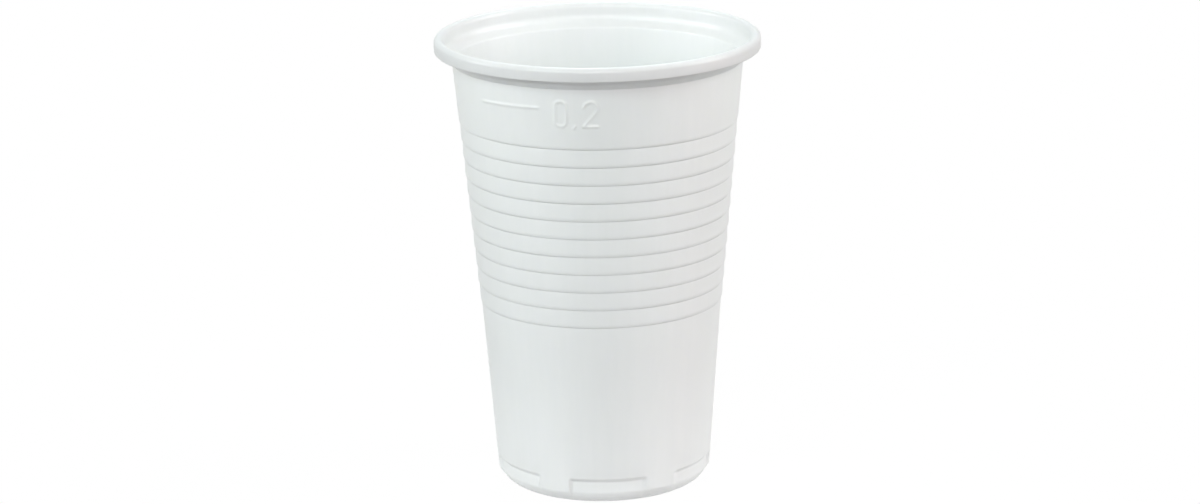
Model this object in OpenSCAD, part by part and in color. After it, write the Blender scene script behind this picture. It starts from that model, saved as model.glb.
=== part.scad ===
// Thin-walled drinking cup, 0.2 litre, drawn from one plastic sheet.
// Millimetres, +Z up. The origin is on the axis, at the plane the cup stands on.
// Every section is a list of [radius, height] points that is turned round the Z axis.

/* [Cup] */
// Height from the table to the top of the rim
cup_h = 99; // [80:1:140]
// Thickness of the drawn sheet
wall = 0.3; // [0.2:0.05:0.6]

/* [Rim] */
// Outer diameter of the rolled rim
rim_d = 70.3; // [66:0.1:80]
// Height of the rolled rim
roll_h = 3.15; // [2.4:0.05:4]
// Width of the roll, from the collar's inner face to the rim's outer face
roll_w = 2.1; // [1.7:0.05:2.6]
// Slot between the end of the roll and the collar
roll_gap = 0.45; // [0.3:0.05:0.7]
// Height of the plain collar and its sloping shoulder, from the rim's top down
collar_h = 5.3; // [4.5:0.1:8]
// Height of the sloping shoulder at the collar's foot
shoulder_h = 1.6; // [1:0.1:3]
// Rounding on the hollow side of the shoulder's two corners
shoulder_round = 0.5; // [0.3:0.1:0.8]

/* [Side wall] */
// Outer diameter where the side wall meets the shoulder
neck_d = 62.7; // [60:0.1:64]
// Outer diameter at the lowest rib line
waist_d = 52.7; // [50:0.1:56]
// Outer diameter that the side wall would reach at the table
foot_d = 45.9; // [42:0.1:49]

/* [Ribs] */
// Number of rib lines
rib_n = 11; // [3:1:13]
// Distance from one rib line to the next
rib_pitch = 3.98; // [3:0.02:5]
// Depth of the top rib line below the rim's top
rib_drop = 18.5; // [15:0.1:30]
// How far the wall steps in at a rib line
rib_step = 0.22; // [0.1:0.02:0.3]
// Height over which the lip above a rib line curls in
rib_lip = 0.9; // [0.5:0.1:1.5]

/* [Foot] */
// Height of the foot's slope between the standing ring and the side wall
foot_h = 2.8; // [2:0.1:4]
// How far the standing ring's outer edge lies in from the side wall
foot_in = 2.95; // [2:0.05:4]
// How far the foot's slope bulges out from a straight line
foot_bulge = 0.4; // [0.2:0.05:0.6]
// Width of the flat ring that the cup stands on
ring_w = 2.2; // [1:0.1:4]
// Height of the raised middle of the base
base_lift = 1.6; // [0.8:0.1:3]
// Number of sunk panels round the foot
panel_n = 6; // [3:1:8]
// Width of a panel, as an angle in degrees
panel_deg = 43; // [20:1:44]
// Turn of the first panel away from the front, in degrees
panel_turn = 2; // [-30:1:30]
// Height of a panel's top edge above the table
panel_top = 5.6; // [4.5:0.1:9]
// Depth of a panel
panel_depth = 0.5; // [0.3:0.05:0.8]

/* [Fill line] */
// Depth of the fill line below the rim's top
fill_drop = 10.2; // [8:0.1:15]
// Height of the raised line itself
fill_w = 0.5; // [0.3:0.1:1]
// How far the line stands proud of the wall
fill_proud = 0.15; // [0.1:0.05:0.3]
// Angle at which the line starts, in degrees from the front towards +X
fill_from = -51; // [-90:1:0]
// Length of the line, as an angle in degrees
fill_deg = 27; // [10:1:60]

/* [Hidden] */
$fn = 96;
SHEET_COLOUR = [0.94, 0.95, 0.94];

// Amount by which cutting shapes run past what they cut
over = 1;
// Directions are measured from the front of the cup, which faces -Y
front = -90;
// Steps in which a quarter of a rounding is drawn
quarter_steps = 8;
// Steps in which the rounding of a shoulder's corner is drawn
corner_steps = 4;

rim_r = rim_d / 2;
collar_r = rim_r - roll_w;
roll_crown = cup_h - roll_w / 2;
shoulder_low = cup_h - collar_h;
shoulder_top = shoulder_low + shoulder_h;
rib_top = cup_h - rib_drop;
rib_low = rib_top - (rib_n - 1) * rib_pitch;
fill_z = cup_h - fill_drop;
ring_out = foot_d / 2 - foot_in;
ring_in = ring_out - ring_w;

// Outer radius of the side wall at height z, before the ribs are stepped in
function wall_r(z) =
    lookup(z, [[0, foot_d / 2], [rib_low, waist_d / 2], [shoulder_low, neck_d / 2]]);

// Points along a circular arc, with its centre, its radius and its first and last angle
function arc(centre, r, from, to) =
    [for (i = [0:quarter_steps]) let (a = from + (to - from) * i / quarter_steps)
        centre + r * [cos(a), sin(a)]];

// The arc of radius r that rounds the corner b of a line from a through b to c
function round_corner(a, b, c, r) =
    let (u = (a - b) / norm(a - b), v = (c - b) / norm(c - b), half = acos(u * v) / 2)
    let (middle = b + (u + v) / norm(u + v) * r / sin(half))
    let (first = b + u * r / tan(half) - middle, last = b + v * r / tan(half) - middle)
    let (from = atan2(first.y, first.x), turn = (atan2(last.y, last.x) - from + 540) % 360 - 180)
    [for (i = [0:corner_steps]) let (w = from + turn * i / corner_steps) middle + r * [cos(w), sin(w)]];

// Lip above rib line k: it starts on the wall and curls in to the crease, from the top down
function lip(k, inset) =
    let (crease = rib_top - k * rib_pitch)
    [for (a = [0:22.5:90]) let (z = crease + rib_lip * (1 - sin(a)))
        [wall_r(z) - rib_step * (1 - cos(a)) - inset, z]];

// All the lips, from the lowest rib line up
function ribs(inset) =
    [for (k = [rib_n - 1:-1:0]) let (points = lip(k, inset))
        for (i = [len(points) - 1:-1:0]) points[i]];

// The bulging slope of the foot, from the standing ring up to the wall. The sheet's thickness is
// taken off as inset, and the curve is moved in by shift at the wall and hardly at all at the ring
function foot_curve(inset, shift) =
    let (low = [ring_out, 0], high = [wall_r(foot_h), foot_h], chord = norm(high - low))
    let (r = (chord * chord / 4 + foot_bulge * foot_bulge) / (2 * foot_bulge), along = (high - low) / chord)
    let (centre = (low + high) / 2 - [along.y, -along.x] * (r - foot_bulge))
    let (from = atan2(low.y - centre.y, low.x - centre.x), to = atan2(high.y - centre.y, high.x - centre.x))
    let (points = arc(centre, r - inset, from, to))
    [for (i = [0:quarter_steps]) points[i] - [shift * (i + 1) / (quarter_steps + 1), 0]];

// The sloping shoulder with its two rounded corners, with the sheet equally thick all along it
function shoulder(inset) =
    let (neck_r = wall_r(shoulder_low), step_r = collar_r + wall)
    let (rise = inset * tan(45 - atan2(shoulder_h, step_r - neck_r) / 2))
    let (below = [wall_r(shoulder_low - shoulder_h) - inset, shoulder_low - shoulder_h])
    let (low = [neck_r - inset, shoulder_low + rise], high = [step_r - inset, shoulder_top + rise])
    let (above = [step_r - inset, roll_crown])
    concat(
        round_corner(below, low, high, shoulder_round + inset),
        round_corner(low, high, above, shoulder_round + wall - inset));

// Half section of the cup's outside, or of the space inside it when inset is the sheet's thickness
function form(inset) = let (lean = inset * tan(22.5)) concat(
    [[0, base_lift + inset], [ring_in - base_lift + lean, base_lift + inset], [ring_in + lean, inset]],
    foot_curve(inset, 0),
    ribs(inset),
    shoulder(inset),
    [[collar_r + wall - inset, inset > 0 ? cup_h + over : roll_crown],
     [0, inset > 0 ? cup_h + over : roll_crown]]);

// What a panel takes off the foot: all that lies outside the foot's curve once it is moved in
module panel_section(inset) {
    edge = foot_curve(inset, panel_depth);
    top = panel_top + inset;
    polygon(concat(
        edge,
        [[wall_r(top) - panel_depth - inset, top], [foot_d, top], [foot_d, -over], [edge[0].x, -over]]));
}

// Solid form of the cup, or of the space inside it
module solid_form(inset) {
    side = inset * 360 / (PI * foot_d);
    difference() {
        rotate_extrude() polygon(form(inset));
        for (i = [0:panel_n - 1])
            rotate(front + panel_turn + i * 360 / panel_n - panel_deg / 2 - side)
                rotate_extrude(angle = panel_deg + 2 * side) panel_section(inset);
    }
}

// Upright shape with half-round ends, its lower left corner at [x, z]
module stadium(x, z, w, h) {
    translate([x, z + w / 2]) square([w, h - w]);
    for (cz = [z + w / 2, z + h - w / 2])
        translate([x + w / 2, cz]) circle(d = w);
}

// Section of the rolled rim: the sheet goes over, down the outside and back in under itself
module roll_section() {
    low = cup_h - roll_h;
    difference() {
        stadium(collar_r, low, roll_w, roll_h);
        stadium(collar_r + wall, low + wall, roll_w - 2 * wall, roll_h - 2 * wall);
        translate([collar_r - over, low - over])
            square([over + wall + roll_gap, over + roll_w / 2]);
    }
}

// Short raised line that marks the full measure
module fill_line() {
    low = fill_z - fill_w / 2;
    high = fill_z + fill_w / 2;
    rotate(front + fill_from)
        rotate_extrude(angle = fill_deg)
            polygon([
                [wall_r(low) - wall / 2, low], [wall_r(low), low],
                [wall_r(fill_z) + fill_proud, fill_z],
                [wall_r(high), high], [wall_r(high) - wall / 2, high]]);
}

module cup() {
    color(SHEET_COLOUR) {
        difference() {
            solid_form(0);
            solid_form(wall);
        }
        rotate_extrude() roll_section();
        fill_line();
    }
}

cup();
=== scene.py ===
# %% [markdown]
# # A thin plastic cup
#
# The real cup is one flat sheet of white polypropylene that was heated, drawn into a mould and
# rolled over at the rim. Everything on it follows from that: the wall is a third of a millimetre
# thick all over, every edge is a little round, and whatever is sunk on one side stands out on the
# other. So the model is one line, the section of that sheet, turned round the cup's axis.
#
# The CAD model gives the frame: where the cup stands and how large it is.

# %% Load the frame
import math

import bmesh
import bpy
from mathutils import Matrix, Vector


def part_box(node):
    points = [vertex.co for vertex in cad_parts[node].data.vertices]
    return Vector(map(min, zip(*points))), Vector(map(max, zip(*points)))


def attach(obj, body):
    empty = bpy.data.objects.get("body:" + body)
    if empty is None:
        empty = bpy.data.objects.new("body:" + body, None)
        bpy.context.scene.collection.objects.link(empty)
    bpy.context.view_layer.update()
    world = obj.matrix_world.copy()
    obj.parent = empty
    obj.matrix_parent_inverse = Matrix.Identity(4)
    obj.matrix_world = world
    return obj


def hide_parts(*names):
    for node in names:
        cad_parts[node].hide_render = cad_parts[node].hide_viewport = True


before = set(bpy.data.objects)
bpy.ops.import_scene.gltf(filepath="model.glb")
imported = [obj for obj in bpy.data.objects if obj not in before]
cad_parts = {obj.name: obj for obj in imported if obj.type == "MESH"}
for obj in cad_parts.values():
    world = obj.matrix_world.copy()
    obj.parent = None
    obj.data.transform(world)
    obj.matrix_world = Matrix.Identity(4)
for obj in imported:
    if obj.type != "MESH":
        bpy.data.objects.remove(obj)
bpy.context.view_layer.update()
low_corner, high_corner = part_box("cup")
MM = 0.001

rim_r = (high_corner[0] - low_corner[0]) / 2 / MM
cup_h = (high_corner[2] - low_corner[2]) / MM
print(f"The cup is {2 * rim_r:.1f} mm across the rim and {cup_h:.1f} mm high")

# %% [markdown]
# ## The sizes of the sheet
#
# A drawn cup has few sizes of its own: the sheet's thickness, the roll at the rim, the collar
# under it that lets cups stack without sticking, a wall that widens upwards, and the foot. They
# are given in millimetres, as a mould maker would, and turned into metres at the very end.

# %% Sizes, in millimetres
wall = 0.3

roll_w = 2.1
roll_h = 3.15
roll_gap = 0.45
roll_corner = 0.5
collar_h = 5.3
shoulder_h = 1.6
neck_round = 0.4
step_round = 2.6

neck_d = 62.7
waist_d = 52.7
foot_d = 45.9

rib_n = 11
rib_pitch = 3.98
rib_top = 80.5
rib_step = 0.22
rib_lip = 0.9
crease_round = 0.12

foot_h = 2.8
foot_in = 2.95
foot_bulge = 0.4
foot_corner = 1.0
ring_w = 2.2
base_lift = 1.6
base_round = 0.6

panel_n = 6
panel_deg = 43.0
panel_turn = 2.0
panel_top = 5.6
panel_depth = 0.8

collar_r = rim_r - roll_w
roll_centre = collar_r + roll_w / 2
roll_crown = cup_h - roll_w / 2
roll_low = cup_h - roll_h + roll_corner
shoulder_low = cup_h - collar_h
shoulder_top = shoulder_low + shoulder_h
rib_low = rib_top - (rib_n - 1) * rib_pitch
ring_out = foot_d / 2 - foot_in
ring_in = ring_out - ring_w
print(f"{rib_n} rib lines from {rib_low:.1f} to {rib_top:.1f} mm above the table")


# %% [markdown]
# ## One line for the whole sheet
#
# A turned shape is usually drawn as two outlines, one outside and one inside. Here it is one
# line, the middle of the sheet, with the thickness added afterwards. That keeps the sheet equally
# thick in every corner, and it lets the roll be drawn as what it is: the same sheet going on.
#
# Each corner of the line has its own rounding, because a sheet drawn over a mould has no sharp
# edge, and the light on the cup shows each of those roundings as a soft line.


# %% Helpers for the section
def wall_r(z):
    """Outer radius of the plain side wall at height z."""
    if z < rib_low:
        return foot_d / 2 + (waist_d - foot_d) / 2 * z / rib_low
    return waist_d / 2 + (neck_d - waist_d) / 2 * (z - rib_low) / (shoulder_low - rib_low)


def arc(centre, radius, first, last, steps):
    """Points along an arc, with its first and last angle in degrees."""
    angles = [math.radians(first + (last - first) * i / steps) for i in range(steps + 1)]
    return [(centre[0] + radius * math.cos(a), centre[1] + radius * math.sin(a)) for a in angles]


def round_corner(before, corner, after, radius, steps):
    """The arc of the given radius that takes the place of a corner of the line."""
    a, b, c = Vector(before), Vector(corner), Vector(after)
    to_a, to_c = (a - b).normalized(), (c - b).normalized()
    half = to_a.angle(to_c) / 2
    reach = radius / math.tan(half)
    middle = b + (to_a + to_c).normalized() * (radius / math.sin(half))
    start, end = b + to_a * reach - middle, b + to_c * reach - middle
    turn = start.angle_signed(end)
    return [tuple(middle + Matrix.Rotation(-turn * i / steps, 2) @ start) for i in range(steps + 1)]


def add_rows(points, heights):
    """The same line, with a point added wherever it passes one of the heights on its way up."""
    apart = 0.03
    out = [points[0]]
    for (r0, z0), (r1, z1) in zip(points, points[1:]):
        passed = [z for z in heights if z0 + apart < z < z1 - apart]
        out += [(r0 + (r1 - r0) * (z - z0) / (z1 - z0), z) for z in passed]
        out.append((r1, z1))
    return out


# %% The sheet's middle line, from the centre of the base to the end of the roll
def foot_slope():
    """Bulging slope from the standing ring up to the wall, through its two ends and its bulge."""
    low, high = Vector((ring_out, 0.0)), Vector((wall_r(foot_h), foot_h))
    chord = high - low
    radius = (chord.length ** 2 / 4 + foot_bulge ** 2) / (2 * foot_bulge)
    out = Vector((chord.y, -chord.x)).normalized()
    centre = (low + high) / 2 - out * (radius - foot_bulge)
    first = math.degrees(math.atan2(low.y - centre.y, low.x - centre.x))
    last = math.degrees(math.atan2(high.y - centre.y, high.x - centre.x))
    return arc(centre, radius - wall / 2, first, last, 9)


def base_and_foot():
    """Raised middle of the base, the ring it stands on and the slope up to the wall."""
    half = wall / 2
    slope_top = (ring_in - base_lift + half, base_lift + half)
    slope_foot = (ring_in + half, half)
    centre = (0.0, base_lift + half)
    on_ring = (ring_out, half)
    on_wall = (wall_r(foot_h + 1) - half, foot_h + 1)
    slope = foot_slope()
    return (
        [centre, (ring_in / 2, base_lift + half)]
        + round_corner(centre, slope_top, slope_foot, base_round, 4)
        + round_corner(slope_top, slope_foot, on_ring, base_round, 4)
        + round_corner(slope_foot, on_ring, slope[1], foot_corner, 3)
        + slope[1:-1]
        + round_corner(slope[-2], slope[-1], on_wall, foot_corner, 3)
    )


def ribs():
    """Stepped wall: under each lip the sheet tucks in to a crease, and the next band starts there."""
    lip_angles = (90, 78, 62, 42, 20, 0)
    out = []
    for k in range(rib_n - 1, -1, -1):
        crease_z = rib_top - k * rib_pitch
        crease_r = wall_r(crease_z) - rib_step
        out.append((crease_r - 0.01, crease_z - crease_round))
        for degrees in lip_angles:
            a = math.radians(degrees)
            z = crease_z + rib_lip * (1 - math.sin(a))
            out.append((wall_r(z) - rib_step * (1 - math.cos(a)), z))
    return [(r - wall / 2, z) for r, z in out]


def collar_and_roll():
    """Sloping shoulder, plain collar, and the sheet rolled over and back in under itself."""
    half = wall / 2
    slope = math.atan2(shoulder_h, collar_r + wall - wall_r(shoulder_low))
    rise = half * math.tan(math.pi / 4 - slope / 2)
    below = (wall_r(shoulder_low - shoulder_h) - half, shoulder_low - shoulder_h)
    neck = (wall_r(shoulder_low) - half, shoulder_low + rise)
    step = (collar_r + half, shoulder_top + rise)
    crown = (collar_r + half, roll_crown)
    outer = (rim_r - roll_corner, roll_low)
    inner = (collar_r + wall + roll_gap + roll_corner, roll_low)
    return (
        round_corner(below, neck, step, neck_round, 5)
        + round_corner(neck, step, crown, step_round, 7)
        + arc((roll_centre, roll_crown), roll_w / 2 - half, 180, 0, 14)
        + arc(outer, roll_corner - half, 0, -90, 6)
        + arc(inner, roll_corner - half, -90, -170, 6)
    )


def rows(low, high, step):
    """Heights from low to high, evenly spaced."""
    count = round((high - low) / step)
    return [low + (high - low) * i / count for i in range(count + 1)]


edge_soft = 1.2
marks_low, marks_high = 84.6, 92.1
plain_low, plain_high = 10.0, 35.0
panel_rows = rows(panel_top - edge_soft / 2, panel_top + edge_soft / 2, 0.1)
mark_rows = rows(marks_low, marks_high, 0.24)
wall_rows = rows(plain_low, plain_high, 5.0)
middle_line = add_rows(base_and_foot() + ribs() + collar_and_roll(), panel_rows + wall_rows + mark_rows)
print(f"The middle line has {len(middle_line)} points")


# %% [markdown]
# ## From the line to a closed section
#
# The two faces of the sheet lie half its thickness to either side of the line. Each point also
# carries two numbers for the steps to come: `sunk` says how far the foot's panels move it, and
# `raised` says how far the numeral stands out there. The panels move both faces, as they do on
# the real sheet. A panel is deepest under its top edge and runs out towards the ring at the foot.
# The numeral stands out on the outer face, and a fifth as high on the inner one.

# %% Both faces of the sheet as one closed line
def smooth(x):
    """Soft step from 0 at x = 0 to 1 at x = 1."""
    x = min(max(x, 0.0), 1.0)
    return x * x * (3 - 2 * x)


def face_of(line, side):
    """The line moved by half the sheet's thickness to one side."""
    out = []
    for i, (r, z) in enumerate(line):
        r0, z0 = line[max(i - 1, 0)]
        r1, z1 = line[min(i + 1, len(line) - 1)]
        length = math.hypot(r1 - r0, z1 - z0)
        out.append((max(r + side * wall / 2 * (z1 - z0) / length, 0.0),
                    z - side * wall / 2 * (r1 - r0) / length))
    return out


panel_low = 0.8
inner_relief = -0.2
outer_face = face_of(middle_line, 1)
inner_face = face_of(middle_line, -1)
section = outer_face + inner_face[::-1]
sunk = [smooth((panel_top + edge_soft / 2 - z) / edge_soft)
        * min(max((z - panel_low) / (panel_top - panel_low), 0.0), 1.0) * (r > ring_out - wall)
        for r, z in section]
raised = [1.0] * len(outer_face) + [inner_relief] * len(inner_face)
print(f"The closed section has {len(section)} points")


def section_object():
    """The section as a mesh of points in the XZ plane, in metres, with its two attributes."""
    mesh = bpy.data.meshes.new("section")
    mesh.from_pydata([(r * MM, 0, z * MM) for r, z in section], [], [])
    for name, values in (("sunk", sunk), ("raised", raised)):
        mesh.attributes.new(name, "FLOAT", "POINT").data.foreach_set("value", values)
    made = bpy.data.objects.new("cup_sheet", mesh)
    bpy.context.collection.objects.link(made)
    return made


# %% [markdown]
# ## The fill line and the numeral
#
# Under the rim the mould has a short raised line and the measure that it stands for, 0,2. They are
# strokes in the mould, so they are drawn here as strokes too: lines on the unrolled wall, with the
# way round the cup as x and the height as y. Later each point of the wall asks how far it is from
# the nearest stroke.

# %% Strokes on the unrolled wall, in millimetres
mark_r = 31.0
digit_low = 85.65
digit_h = 5.4


def around(degrees):
    """Distance along the wall for an angle from the front, towards +X."""
    return math.radians(degrees) * mark_r


def zero(centre):
    """An upright, narrow 0."""
    w, r = 2.4, 1.0
    top, low = digit_low + digit_h, digit_low
    right, left = centre + w / 2, centre - w / 2
    return (
        arc((right - r, top - r), r, 0, 90, 6) + arc((left + r, top - r), r, 90, 180, 6)
        + arc((left + r, low + r), r, 180, 270, 6) + arc((right - r, low + r), r, 270, 360, 6)
        + [(right, top - r)]
    )


def two(centre):
    """A 2 with a round head, a slanted neck and a flat foot."""
    w, r = 3.0, 1.45
    top, low = digit_low + digit_h, digit_low
    head = (centre, top - r)
    return arc(head, r, 170, -32, 12) + [(centre - w / 2, low), (centre + w / 2, low)]


def comma(centre):
    """A short slanted stroke on the base line."""
    return [(centre + 0.15, digit_low + 0.1), (centre - 0.15, digit_low - 0.4)]


fill_line = [(around(-51.3), 89.05), (around(-24.4), 89.4)]
strokes = [fill_line, zero(around(-15.0)), comma(around(-9.6)), two(around(-3.1))]


def strokes_object():
    """All the strokes as one mesh of edges on the unrolled wall."""
    points, edges = [], []
    for stroke in strokes:
        first = len(points)
        points += [(x * MM, 0, z * MM) for x, z in stroke]
        edges += [(i, i + 1) for i in range(first, len(points) - 1)]
    mesh = bpy.data.meshes.new("strokes")
    mesh.from_pydata(points, edges, [])
    made = bpy.data.objects.new("strokes", mesh)
    bpy.context.collection.objects.link(made)
    return made


# %% [markdown]
# ## Small tools for node trees
#
# Node trees are long to write out, so one small function adds a node, sets it up and links it. The
# same function serves the geometry and the materials.

# %% Adding nodes
def add(tree, kind, inputs=None, **settings):
    """Adds a node, sets its properties, and fills its inputs with values or links."""
    node = tree.nodes.new(kind)
    for name, value in settings.items():
        setattr(node, name, value)
    for name, value in (inputs or {}).items():
        if isinstance(value, bpy.types.NodeSocket):
            tree.links.new(value, node.inputs[name])
        else:
            node.inputs[name].default_value = value
    return node


def math_node(tree, operation, *values):
    """Result socket of a Math node."""
    return add(tree, "ShaderNodeMath", dict(enumerate(values)), operation=operation).outputs[0]


# %% [markdown]
# ## Turning the section
#
# The cup is a rule: every point of it is a point of the section, turned by some angle. A Geometry
# Nodes tree can hold that rule. It starts from a flat grid with one row for each point of the
# section and one column for each angle, rolls it up, and closes the seam and the two poles.
#
# The columns don't stand evenly. They crowd together at the front, where the numeral needs them,
# and thin out at the back, so the cup has detail where it is needed and stays a light mesh.
#
# Spin or the Screw modifier would turn the section too, but they couldn't sink the panels or raise
# the strokes by the same rule.

# %% The tree that turns the sheet
def grid_part(tree, columns, row_count):
    """The flat grid, with each point's share of the way round and its row number."""
    grid = add(tree, "GeometryNodeMeshGrid",
               {"Size X": 1.0, "Size Y": 1.0, "Vertices X": columns, "Vertices Y": row_count})
    place = add(tree, "GeometryNodeInputPosition").outputs[0]
    split = add(tree, "ShaderNodeSeparateXYZ", {0: place})
    share = math_node(tree, "ADD", split.outputs["X"], 0.5)
    from_start = math_node(tree, "ADD", split.outputs["Y"], 0.5)
    last_row = math_node(tree, "SUBTRACT", row_count, 1.0)
    row = math_node(tree, "ROUND", math_node(tree, "MULTIPLY", from_start, last_row))
    return grid.outputs["Mesh"], share, row


def angle_part(tree, given, share):
    """Angle of a column from the front. Crowding brings the columns together at the dense angle."""
    turn = math_node(tree, "MULTIPLY", share, math.tau)
    swing = math_node(tree, "MULTIPLY", math_node(tree, "SINE", turn), given["Crowding"])
    angle = math_node(tree, "SUBTRACT", turn, swing)
    return math_node(tree, "ADD", angle, given["Dense angle"])


def panel_part(tree, given, angle):
    """1 in the middle of a panel, 0 between panels, with a soft side edge."""
    pitch = math_node(tree, "DIVIDE", math.tau, given["Panels"])
    half_pitch = math_node(tree, "MULTIPLY", pitch, 0.5)
    from_first = math_node(tree, "SUBTRACT", angle, given["Panel turn"])
    low = math_node(tree, "MULTIPLY", half_pitch, -1.0)
    local = math_node(tree, "WRAP", from_first, half_pitch, low)
    off = math_node(tree, "ABSOLUTE", local)
    half_width = math_node(tree, "MULTIPLY", given["Panel width"], 0.5)
    inside = math_node(tree, "SUBTRACT", half_width, given["Panel edge"])
    mask = add(tree, "ShaderNodeMapRange",
               {"Value": off, "From Min": half_width, "From Max": inside, "To Min": 0.0, "To Max": 1.0},
               interpolation_type="SMOOTHSTEP")
    return mask.outputs["Result"]


def stroke_part(tree, given, angle, height):
    """1 on a stroke's crest, 0 away from it, from the distance on the unrolled wall."""
    wrapped = math_node(tree, "WRAP", angle, math.pi, -math.pi)
    along = math_node(tree, "MULTIPLY", wrapped, given["Mark radius"])
    flat = add(tree, "ShaderNodeCombineXYZ", {"X": along, "Y": 0.0, "Z": height}).outputs[0]
    drawn = add(tree, "GeometryNodeObjectInfo", {"Object": given["Strokes"]}).outputs["Geometry"]
    near = add(tree, "GeometryNodeProximity", {"Geometry": drawn, "Sample Position": flat},
               target_element="EDGES")
    half = math_node(tree, "MULTIPLY", given["Stroke width"], 0.5)
    mask = add(tree, "ShaderNodeMapRange",
               {"Value": near.outputs["Distance"], "From Min": half, "From Max": 0.0,
                "To Min": 0.0, "To Max": 1.0}, interpolation_type="SMOOTHSTEP")
    return mask.outputs["Result"]


def sample_section(tree, section_mesh, row, kind, value):
    """A value of the section's point that a row stands for."""
    node = add(tree, "GeometryNodeSampleIndex", data_type=kind, domain="POINT", clamp=True)
    tree.links.new(section_mesh, node.inputs["Geometry"])
    tree.links.new(value, node.inputs["Value"])
    tree.links.new(row, node.inputs["Index"])
    return node.outputs[0]


def named(tree, name):
    """A number stored on the section's points."""
    return add(tree, "GeometryNodeInputNamedAttribute", {"Name": name}, data_type="FLOAT").outputs[0]


TURNED_INPUTS = [
    ("Columns", "NodeSocketInt", 251),
    ("Crowding", "NodeSocketFloat", 0.7),
    ("Dense angle", "NodeSocketFloat", math.radians(-9)),
    ("Panels", "NodeSocketInt", panel_n),
    ("Panel width", "NodeSocketFloat", math.radians(panel_deg)),
    ("Panel turn", "NodeSocketFloat", math.radians(panel_turn)),
    ("Panel edge", "NodeSocketFloat", math.radians(2.0)),
    ("Panel depth", "NodeSocketFloat", panel_depth * MM),
    ("Strokes", "NodeSocketObject", None),
    ("Mark radius", "NodeSocketFloat", mark_r * MM),
    ("Stroke width", "NodeSocketFloat", 0.9 * MM),
    ("Stroke height", "NodeSocketFloat", 0.2 * MM),
    ("Sheet", "NodeSocketMaterial", None),
]


def turned_sheet_tree():
    """Geometry Nodes tree that turns a section into a closed sheet, with panels and strokes."""
    tree = bpy.data.node_groups.new("turned sheet", "GeometryNodeTree")
    tree.interface.new_socket("Section", in_out="INPUT", socket_type="NodeSocketGeometry")
    for name, kind, value in TURNED_INPUTS:
        socket = tree.interface.new_socket(name, in_out="INPUT", socket_type=kind)
        if value is not None:
            socket.default_value = value
    tree.interface.new_socket("Cup", in_out="OUTPUT", socket_type="NodeSocketGeometry")
    given = add(tree, "NodeGroupInput").outputs

    size = add(tree, "GeometryNodeAttributeDomainSize", {"Geometry": given["Section"]},
               component="MESH")
    grid, share, row = grid_part(tree, given["Columns"], size.outputs["Point Count"])
    angle = angle_part(tree, given, share)

    place = add(tree, "GeometryNodeInputPosition").outputs[0]
    on_section = sample_section(tree, given["Section"], row, "FLOAT_VECTOR", place)
    sunk_here = sample_section(tree, given["Section"], row, "FLOAT", named(tree, "sunk"))
    raised_here = sample_section(tree, given["Section"], row, "FLOAT", named(tree, "raised"))
    split = add(tree, "ShaderNodeSeparateXYZ", {0: on_section})
    radius, height = split.outputs["X"], split.outputs["Z"]

    panel = math_node(tree, "MULTIPLY", panel_part(tree, given, angle), sunk_here)
    inward = math_node(tree, "MULTIPLY", panel, given["Panel depth"])
    stroke = math_node(tree, "MULTIPLY", stroke_part(tree, given, angle, height), raised_here)
    outward = math_node(tree, "MULTIPLY", stroke, given["Stroke height"])
    radius = math_node(tree, "ADD", math_node(tree, "SUBTRACT", radius, inward), outward)

    x = math_node(tree, "MULTIPLY", radius, math_node(tree, "SINE", angle))
    y = math_node(tree, "MULTIPLY", radius, math_node(tree, "COSINE", angle))
    turned = add(tree, "ShaderNodeCombineXYZ",
                 {"X": x, "Y": math_node(tree, "MULTIPLY", y, -1.0), "Z": height}).outputs[0]
    rolled = add(tree, "GeometryNodeSetPosition", {"Geometry": grid, "Position": turned}).outputs[0]
    closed = add(tree, "GeometryNodeMergeByDistance",
                 {"Geometry": rolled, "Distance": 0.001 * MM}).outputs[0]
    soft = add(tree, "GeometryNodeSetShadeSmooth", {"Geometry": closed}).outputs[0]
    real = add(tree, "GeometryNodeRealizeInstances", {"Geometry": soft}).outputs[0]
    done = add(tree, "GeometryNodeSetMaterial",
               {"Geometry": real, "Material": given["Sheet"]}).outputs[0]
    add(tree, "NodeGroupOutput", {"Cup": done})
    return tree


# %% [markdown]
# ## White polypropylene
#
# The sheet is polypropylene with white pigment in it. Drawing leaves it half-glossy, with faint
# streaks up the wall where it was stretched, and a fine ripple from the mould. The sheet is thin
# and lets light in, so it scatters light within half a millimetre under its surface, which softens
# every small shadow. A plain white paint would look too hard here. So the finish is one shader with
# a smooth gloss over that scattering, and two quiet patterns that follow real sizes: streaks about
# 2 mm wide, and a ripple of 0.8 mm, drawn a little coarser than the real one so that it shows.

# %% The sheet's finish
def srgb(code):
    """Linear colour of an sRGB hex value."""
    parts = [int(code[i:i + 2], 16) / 255 for i in (0, 2, 4)]
    return [p / 12.92 if p <= 0.04045 else ((p + 0.055) / 1.055) ** 2.4 for p in parts] + [1.0]


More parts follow.
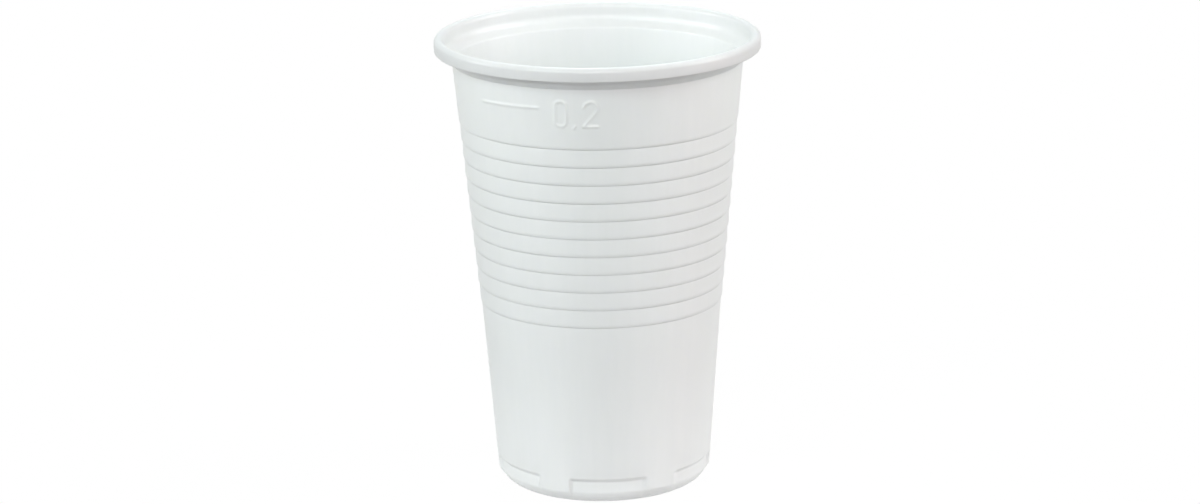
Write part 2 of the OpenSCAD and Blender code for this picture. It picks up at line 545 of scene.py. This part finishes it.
def white_polypropylene():
    """Thermoformed white polypropylene sheet, half-gloss."""
    material = bpy.data.materials.new("white_polypropylene_thermoformed")
    material.use_nodes = True
    tree = material.node_tree
    tree.nodes.clear()
    place = add(tree, "ShaderNodeTexCoord").outputs["Object"]

    streak_w, ripple_w, relief_depth, scatter = 2.0 * MM, 0.8 * MM, 0.05 * MM, 0.5 * MM
    stretched = add(tree, "ShaderNodeMapping", {"Vector": place, "Scale": (1.0, 1.0, 0.03)}).outputs[0]
    streaks = add(tree, "ShaderNodeTexNoise",
                  {"Vector": stretched, "Scale": 1 / streak_w,
                   "Detail": 3.0, "Roughness": 0.6}).outputs[0]
    ripple = add(tree, "ShaderNodeTexNoise",
                 {"Vector": place, "Scale": 1 / ripple_w, "Detail": 2.0, "Roughness": 0.5}).outputs[0]

    colour = add(tree, "ShaderNodeMix", data_type="RGBA")
    tree.links.new(streaks, colour.inputs["Factor"])
    colour.inputs["A"].default_value = srgb("ebeeed")
    colour.inputs["B"].default_value = srgb("f0f2f1")

    gloss = add(tree, "ShaderNodeMapRange",
                {"Value": streaks, "From Min": 0.3, "From Max": 0.7, "To Min": 0.30, "To Max": 0.40})
    relief = add(tree, "ShaderNodeMath", {0: streaks, 1: 1.5, 2: ripple}, operation="MULTIPLY_ADD")
    bump = add(tree, "ShaderNodeBump",
               {"Strength": 0.10, "Distance": relief_depth, "Height": relief.outputs[0]})
    shader = add(tree, "ShaderNodeBsdfPrincipled", {
        "Base Color": colour.outputs["Result"],
        "Roughness": gloss.outputs["Result"],
        "Normal": bump.outputs[0],
        "IOR": 1.49,
        "Subsurface Weight": 1.0,
        "Subsurface Radius": (1.0, 1.0, 0.95),
        "Subsurface Scale": scatter,
    })
    add(tree, "ShaderNodeOutputMaterial", {"Surface": shader.outputs[0]})
    return material


# %% [markdown]
# ## Making the cup
#
# The tree is used once, as a modifier on the section. Its sizes are set by each input's own
# identifier, before Blender first works the object out. The result is copied to a plain mesh, so
# that what leaves this script is an ordinary closed shell.

# %% Run the tree and keep its mesh
def set_inputs(modifier, values):
    """Gives a Geometry Nodes modifier its inputs by name."""
    for item in modifier.node_group.interface.items_tree:
        if item.item_type == "SOCKET" and item.in_out == "INPUT" and item.name in values:
            modifier[item.identifier] = values[item.name]


def make_cup():
    """The finished cup as a plain mesh."""
    cup = section_object()
    drawn = strokes_object()
    modifier = cup.modifiers.new("turned sheet", "NODES")
    modifier.node_group = turned_sheet_tree()
    values = {name: value for name, kind, value in TURNED_INPUTS if value is not None}
    set_inputs(modifier, {**values, "Strokes": drawn, "Sheet": white_polypropylene()})
    worked_out = cup.evaluated_get(bpy.context.evaluated_depsgraph_get())
    mesh = bpy.data.meshes.new_from_object(worked_out)
    cup.modifiers.clear()
    cup.data = mesh
    mesh.name = "cup_sheet"
    bpy.data.objects.remove(drawn)
    return cup


cup = make_cup()
print(f"The cup has {len(cup.data.vertices)} points and {len(cup.data.polygons)} faces")

# %% [markdown]
# ## Which way the faces point
#
# A closed shell needs its faces to point outwards. The volume under the faces tells: it comes out
# negative if they point inwards, and then they are all turned.

# %% Turn the faces outwards if they need it
def face_outwards(mesh):
    """Turns every face if the shell is inside out, and prints its open edges and its volume."""
    shell = bmesh.new()
    shell.from_mesh(mesh)
    volume = shell.calc_volume(signed=True)
    if volume < 0:
        bmesh.ops.reverse_faces(shell, faces=shell.faces)
        shell.to_mesh(mesh)
    open_edges = sum(1 for edge in shell.edges if not edge.is_manifold)
    shell.free()
    print(f"{open_edges} open edges, {abs(volume) * 1e6:.2f} cubic centimetres of plastic")


face_outwards(cup.data)
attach(cup, "root")
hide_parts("cup")

# %% [markdown]
# ## The floor
#
# The cup stands on a small white light table. Light comes up through it, as it bounces up from any
# white surface in a studio, and it keeps the foot's slope and the underside of the roll from going
# dark. The camera sees the table as white, so that it runs into the white background, and only a
# small share of it takes the cup's shadow. A large table would flatten the shading of the wall.

# %% The light table
def seen_as_white(tree):
    """1 for what the camera, a gloss or a clear body sees, 0 for light that falls on the cup."""
    path = add(tree, "ShaderNodeLightPath").outputs
    seen = math_node(tree, "MAXIMUM", path["Is Camera Ray"], path["Is Glossy Ray"])
    return math_node(tree, "MAXIMUM", seen, path["Is Transmission Ray"])


def white_table():
    """Opal acrylic sheet, lit from below: matt and white, with a faint shadow."""
    white_share = 0.93
    material = bpy.data.materials.new("opal_acrylic_light_table")
    material.use_nodes = True
    tree = material.node_tree
    tree.nodes.clear()
    matt = add(tree, "ShaderNodeBsdfDiffuse", {"Color": srgb("a0a0a0")})
    from_below = add(tree, "ShaderNodeEmission", {"Color": srgb("ffffff"), "Strength": 0.29})
    lit = add(tree, "ShaderNodeAddShader", {0: matt.outputs[0], 1: from_below.outputs[0]})
    glow = add(tree, "ShaderNodeEmission", {"Color": srgb("ffffff"), "Strength": 1.03})
    share = math_node(tree, "MULTIPLY", seen_as_white(tree), white_share)
    both = add(tree, "ShaderNodeMixShader", {0: share, 1: lit.outputs[0], 2: glow.outputs[0]})
    add(tree, "ShaderNodeOutputMaterial", {"Surface": both.outputs[0]})
    return material


def make_table():
    """A flat square just under the cup's foot."""
    half, top = 0.1, -0.02 * MM
    mesh = bpy.data.meshes.new("table")
    mesh.from_pydata([(-half, -half, top), (half, -half, top), (half, half, top), (-half, half, top)],
                     [], [(0, 1, 2, 3)])
    mesh.materials.append(white_table())
    made = bpy.data.objects.new("table", mesh)
    bpy.context.collection.objects.link(made)
    return made


make_table()

# %% [markdown]
# ## Light
#
# A white cup in front of a white background only shows its form if the light differs from side to
# side. One large lamp could light it all, but then the wall would look flat. So soft lamps stand
# round the front, 23 to 32 degrees up: high enough for the roll to shade the wall beneath it, and for
# each lip to shade its crease. The front left is brighter than the front right, and a little
# greener. The lamps at the sides light the edges, with a low and a high one added on the right. The
# lamp behind reaches over the rim and lights the inside.

# %% The room and the lamps
def room_light(strength):
    """White behind the cup, and an even grey light on it."""
    world = bpy.data.worlds.new("room")
    bpy.context.scene.world = world
    world.use_nodes = True
    tree = world.node_tree
    tree.nodes.clear()
    grey = add(tree, "ShaderNodeBackground", {"Color": srgb("ffffff"), "Strength": strength})
    white = add(tree, "ShaderNodeBackground", {"Color": srgb("ffffff"), "Strength": 1.0})
    both = add(tree, "ShaderNodeMixShader",
               {0: seen_as_white(tree), 1: grey.outputs[0], 2: white.outputs[0]})
    add(tree, "ShaderNodeOutputWorld", {"Surface": both.outputs[0]})


def lamp(name, place, size, power, colour):
    """A square soft lamp that points at the middle of the cup. Metres, watts and an sRGB colour."""
    aim = Vector((0.0, 0.0, 0.05))
    data = bpy.data.lights.new(name, "AREA")
    data.size = size
    data.energy = power
    data.color = srgb(colour)[:3]
    made = bpy.data.objects.new(name, data)
    made.location = place
    made.rotation_euler = (aim - Vector(place)).to_track_quat("-Z", "Y").to_euler()
    made.visible_camera = False
    bpy.context.collection.objects.link(made)
    return made


room_light(0.01)
lamp("lamp in front", (0.0, -1.05, 0.45), 0.5, 5.0, "fff4fa")
lamp("lamp front left", (-0.61, -0.73, 0.65), 0.4, 4.6, "e9fffa")
lamp("lamp front right", (0.61, -0.73, 0.65), 0.4, 1.6, "fdfcee")
lamp("lamp left", (-1.0, 0.0, 0.45), 0.5, 4.5, "fffbfb")
lamp("lamp right", (1.0, 0.0, 0.5), 0.5, 5.2, "fafdff")
lamp("lamp low right", (1.05, 0.0, 0.12), 0.4, 0.9, "ffe6d6")
lamp("lamp high right", (0.75, -0.1, 0.85), 0.5, 1.2, "fffcf8")
lamp("lamp behind", (0.0, 0.75, 0.85), 0.5, 4.0, "eefbff")

# %% [markdown]
# ## The camera
#
# The photograph was taken from in front and above with a long lens. Its place was worked out from
# how round the rim, the ribs and the foot look: 839 mm from the axis, 276 mm above the table,
# looking down by 15 degrees and turned by one degree about its own axis.

# %% Set up the camera
camera_data = bpy.data.cameras.new("camera")
camera_data.sensor_fit = "HORIZONTAL"
camera_data.sensor_width = 36.0
camera_data.lens = 119.56
camera = bpy.data.objects.new("camera", camera_data)
bpy.context.collection.objects.link(camera)
bpy.context.scene.camera = camera

look_down = 15.05
roll = -0.953
place = Vector((-0.18, -838.7, 275.96)) * MM
down_turn = Matrix.Rotation(math.radians(90 - look_down), 4, "X")
own_turn = Matrix.Rotation(math.radians(roll), 4, "Z")
camera.matrix_world = Matrix.Translation(place) @ down_turn @ own_turn
camera_data.clip_start = 0.01
camera_data.clip_end = 20.0

# %% [markdown]
# ## Colour
#
# Standard view keeps colours as they are written. The visual model has to stay inside the box of
# the CAD model.

# %% Finish
bpy.context.scene.view_settings.view_transform = "Standard"
